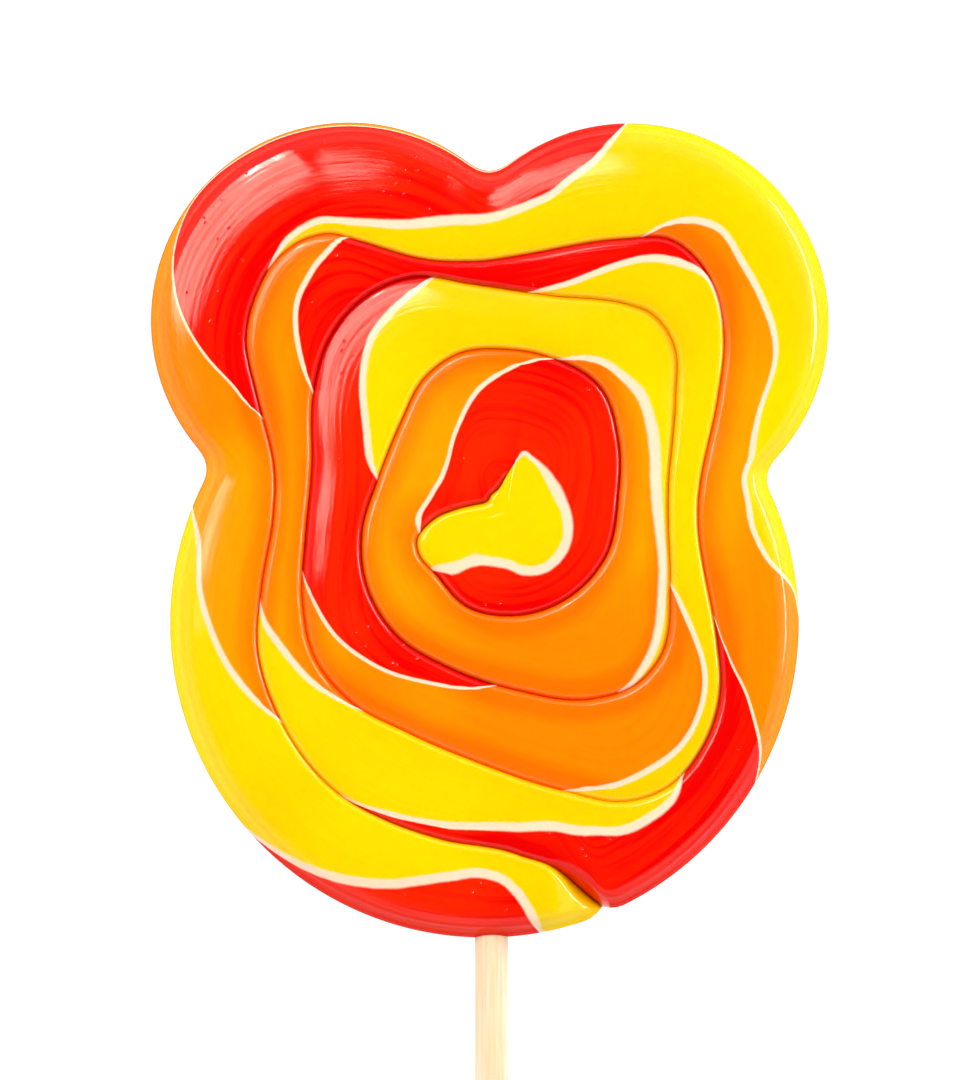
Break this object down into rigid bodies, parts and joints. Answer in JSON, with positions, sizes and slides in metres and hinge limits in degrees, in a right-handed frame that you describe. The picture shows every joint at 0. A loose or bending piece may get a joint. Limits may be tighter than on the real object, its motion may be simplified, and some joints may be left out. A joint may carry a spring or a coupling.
{
  "type": "lollipop",
  "caption": "Flat hard-candy lollipop: a striped rope coiled and pressed into a bear outline on a round wooden stick.",
  "frame": {"origin": "on the candy's flat back, under the middle of the bear outline; the lollipop lies on its back", "axes": "+Z out of the shown side, +Y from the stick up to the ears, +X to the right seen from the shown side"},
  "size_m": [0.0812, 0.2172, 0.0095],
  "materials": {
    "candy": "glossy boiled sugar, striped yellow, orange and red with thin white lines",
    "stick": "plain pale bamboo, fine lengthwise grain"
  },
  "bodies": {
    "root": {"candy": "candy", "stick": "stick"}
  },
  "joints": []
}
